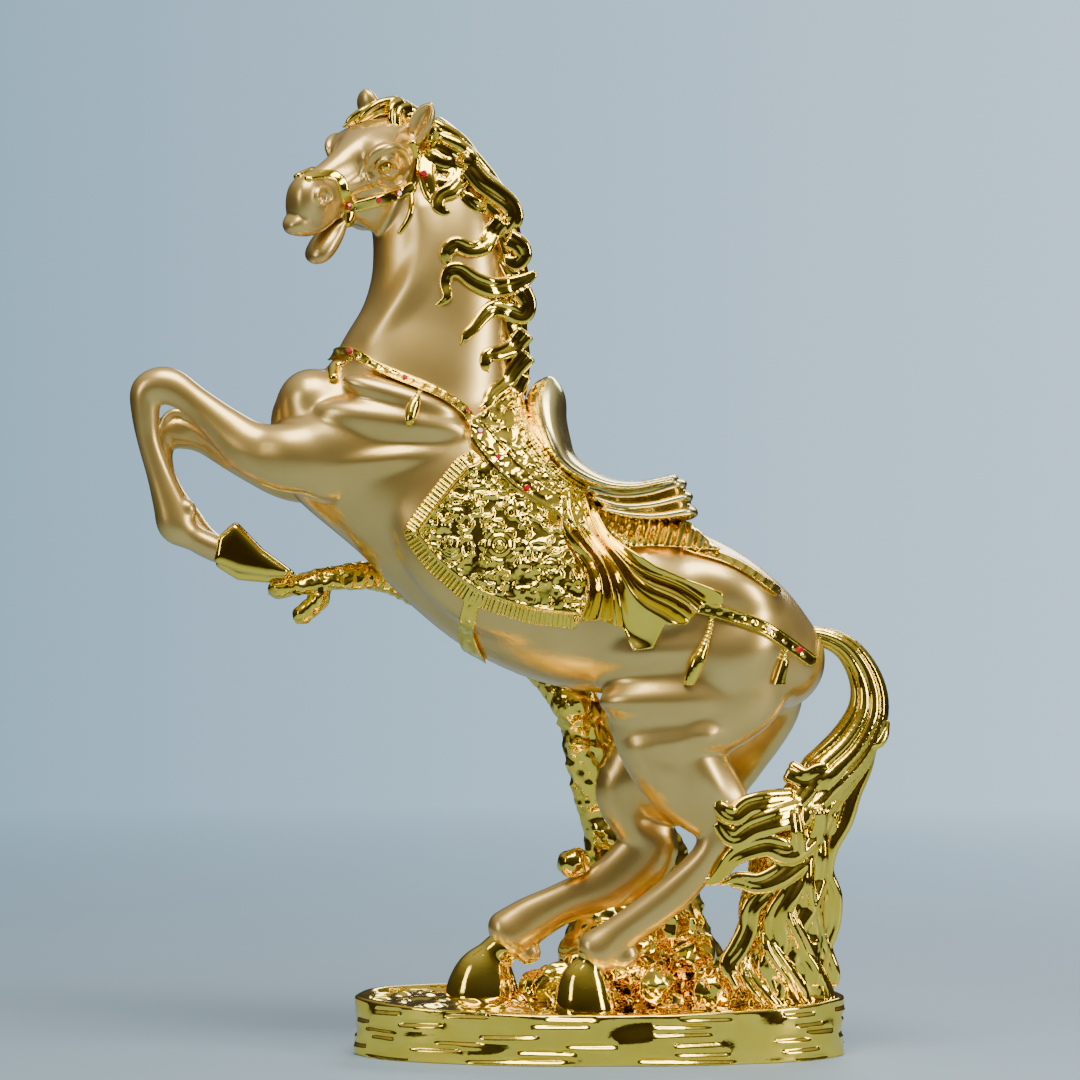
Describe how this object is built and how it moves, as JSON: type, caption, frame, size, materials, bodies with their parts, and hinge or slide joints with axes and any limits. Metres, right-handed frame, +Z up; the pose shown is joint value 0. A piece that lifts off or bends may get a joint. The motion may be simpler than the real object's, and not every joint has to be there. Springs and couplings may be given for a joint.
{
  "type": "horse statue",
  "caption": "Rearing saddled horse on its hind legs, propped by a tree stump and its tail on an oval log-slice base, in pearl gold paint and gold plating.",
  "frame": {"origin": "middle of the base's flat underside", "axes": "+Z up, the horse faces -X, its left flank is towards -Y"},
  "size_m": [0.4855, 0.1537, 0.6155],
  "materials": {
    "gold_casting": "resin casting, pearl champagne-gold lacquer on the coat and bright gold plating on mane, tail, tack, stump and base",
    "red_glass": "faceted red glass stone"
  },
  "bodies": {
    "root": {"statue": "gold_casting", "stone_band_lower_far": "red_glass", "stone_band_lower_near": "red_glass", "stone_band_middle_far": "red_glass", "stone_band_middle_near": "red_glass", "stone_band_upper_far": "red_glass", "stone_band_upper_near": "red_glass", "stone_breast_lower_far": "red_glass", "stone_breast_lower_near": "red_glass", "stone_breast_middle_far": "red_glass", "stone_breast_middle_near": "red_glass", "stone_breast_upper_far": "red_glass", "stone_breast_upper_near": "red_glass", "stone_bridle_cheek_far": "red_glass", "stone_bridle_cheek_near": "red_glass", "stone_bridle_jaw_far": "red_glass", "stone_bridle_jaw_near": "red_glass", "stone_bridle_ring_far": "red_glass", "stone_bridle_ring_near": "red_glass", "stone_bridle_temple_far": "red_glass", "stone_bridle_temple_near": "red_glass", "stone_crupper_front_far": "red_glass", "stone_crupper_front_near": "red_glass", "stone_crupper_middle_far": "red_glass", "stone_crupper_middle_near": "red_glass", "stone_crupper_rear_far": "red_glass", "stone_crupper_rear_near": "red_glass"}
  },
  "joints": []
}
